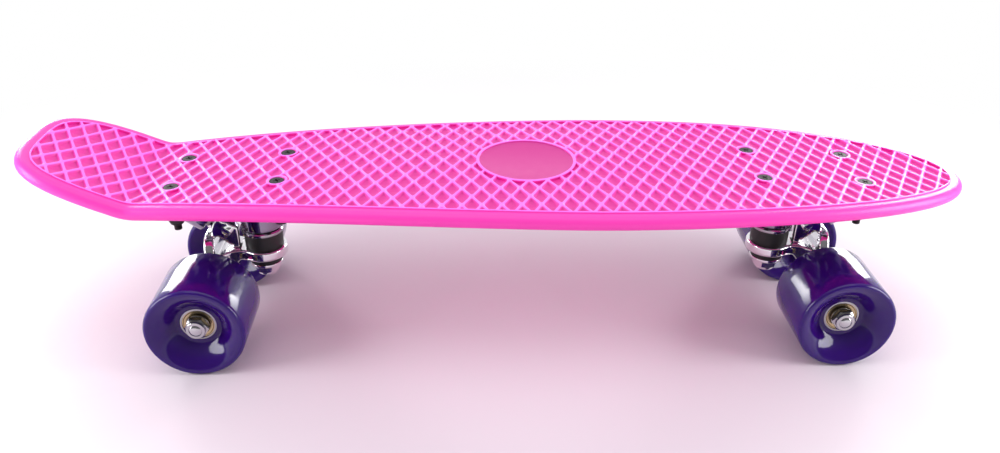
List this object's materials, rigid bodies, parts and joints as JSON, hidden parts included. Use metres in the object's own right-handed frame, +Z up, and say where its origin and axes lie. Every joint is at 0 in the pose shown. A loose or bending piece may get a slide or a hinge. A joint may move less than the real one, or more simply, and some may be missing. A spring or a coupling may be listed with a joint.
{
  "type": "cruiser skateboard",
  "caption": "Short moulded plastic cruiser skateboard with a kick tail, a diamond-lattice deck, sprung chrome trucks that steer and free-rolling urethane wheels.",
  "frame": {"origin": "on the ground, under the middle of the deck's length and width", "axes": "+X towards the nose along the deck, +Y to the rider's left facing the nose, +Z up"},
  "size_m": [0.582, 0.151, 0.1267],
  "materials": {
    "deck_plastic": "hot pink moulded plastic, satin gloss",
    "wheel_urethane": "deep indigo cast urethane, glossy",
    "chrome": "mirror chrome plate",
    "steel": "ground steel",
    "black_steel": "black oxide",
    "bushing_urethane": "black urethane, satin",
    "cup_nylon": "pale nylon"
  },
  "bodies": {
    "board": {"deck": "deck_plastic", "rear_outer_left_deck_screw": "black_steel", "rear_outer_right_deck_screw": "black_steel", "rear_inner_left_deck_screw": "black_steel", "rear_inner_right_deck_screw": "black_steel", "front_outer_left_deck_screw": "black_steel", "front_outer_right_deck_screw": "black_steel", "front_inner_left_deck_screw": "black_steel", "front_inner_right_deck_screw": "black_steel", "rear_outer_left_lock_nut": "black_steel", "rear_outer_right_lock_nut": "black_steel", "rear_inner_left_lock_nut": "black_steel", "rear_inner_right_lock_nut": "black_steel", "front_outer_left_lock_nut": "black_steel", "front_outer_right_lock_nut": "black_steel", "front_inner_left_lock_nut": "black_steel", "front_inner_right_lock_nut": "black_steel", "rear_baseplate": "chrome", "rear_pivot_cup": "cup_nylon", "rear_kingpin": "steel", "rear_kingpin_nut": "chrome", "rear_board_side_washer": "chrome", "rear_board_side_bushing": "bushing_urethane", "rear_road_side_bushing": "bushing_urethane", "rear_road_side_washer": "chrome", "front_baseplate": "chrome", "front_pivot_cup": "cup_nylon", "front_kingpin": "steel", "front_kingpin_nut": "chrome", "front_board_side_washer": "chrome", "front_board_side_bushing": "bushing_urethane", "front_road_side_bushing": "bushing_urethane", "front_road_side_washer": "chrome"},
    "rear_truck_hanger": {"rear_hanger": "chrome", "rear_axle": "steel", "rear_left_speed_washer": "steel", "rear_left_axle_nut": "chrome", "rear_right_speed_washer": "steel", "rear_right_axle_nut": "chrome"},
    "rear_left_wheel_hub": {"rear_left_wheel": "wheel_urethane", "rear_left_outer_bearing": "steel", "rear_left_inner_bearing": "steel"},
    "rear_right_wheel_hub": {"rear_right_wheel": "wheel_urethane", "rear_right_outer_bearing": "steel", "rear_right_inner_bearing": "steel"},
    "front_truck_hanger": {"front_hanger": "chrome", "front_axle": "steel", "front_left_speed_washer": "steel", "front_left_axle_nut": "chrome", "front_right_speed_washer": "steel", "front_right_axle_nut": "chrome"},
    "front_left_wheel_hub": {"front_left_wheel": "wheel_urethane", "front_left_outer_bearing": "steel", "front_left_inner_bearing": "steel"},
    "front_right_wheel_hub": {"front_right_wheel": "wheel_urethane", "front_right_outer_bearing": "steel", "front_right_inner_bearing": "steel"}
  },
  "joints": [
    {"name": "rear_steering", "type": "hinge", "parent": "board", "child": "rear_truck_hanger", "pos_m": [-0.15705, 0, 0.0475], "axis": [-0.8129, 0, 0.5824], "range_deg": [-15, 15], "stiffness_Nm_per_rad": 40, "deforming": ["rear_board_side_bushing", "rear_road_side_bushing"]},
    {"name": "rear_left_wheel_spin", "type": "hinge", "parent": "rear_truck_hanger", "child": "rear_left_wheel_hub", "pos_m": [-0.18735, 0.0491, 0.03], "axis": [0, 1, 0], "continuous": true},
    {"name": "rear_right_wheel_spin", "type": "hinge", "parent": "rear_truck_hanger", "child": "rear_right_wheel_hub", "pos_m": [-0.18735, -0.0491, 0.03], "axis": [0, 1, 0], "continuous": true},
    {"name": "front_steering", "type": "hinge", "parent": "board", "child": "front_truck_hanger", "pos_m": [0.17495, 0, 0.0475], "axis": [0.8129, 0, 0.5824], "range_deg": [-15, 15], "stiffness_Nm_per_rad": 40, "deforming": ["front_board_side_bushing", "front_road_side_bushing"]},
    {"name": "front_left_wheel_spin", "type": "hinge", "parent": "front_truck_hanger", "child": "front_left_wheel_hub", "pos_m": [0.20525, 0.0491, 0.03], "axis": [0, 1, 0], "continuous": true},
    {"name": "front_right_wheel_spin", "type": "hinge", "parent": "front_truck_hanger", "child": "front_right_wheel_hub", "pos_m": [0.20525, -0.0491, 0.03], "axis": [0, 1, 0], "continuous": true}
  ]
}
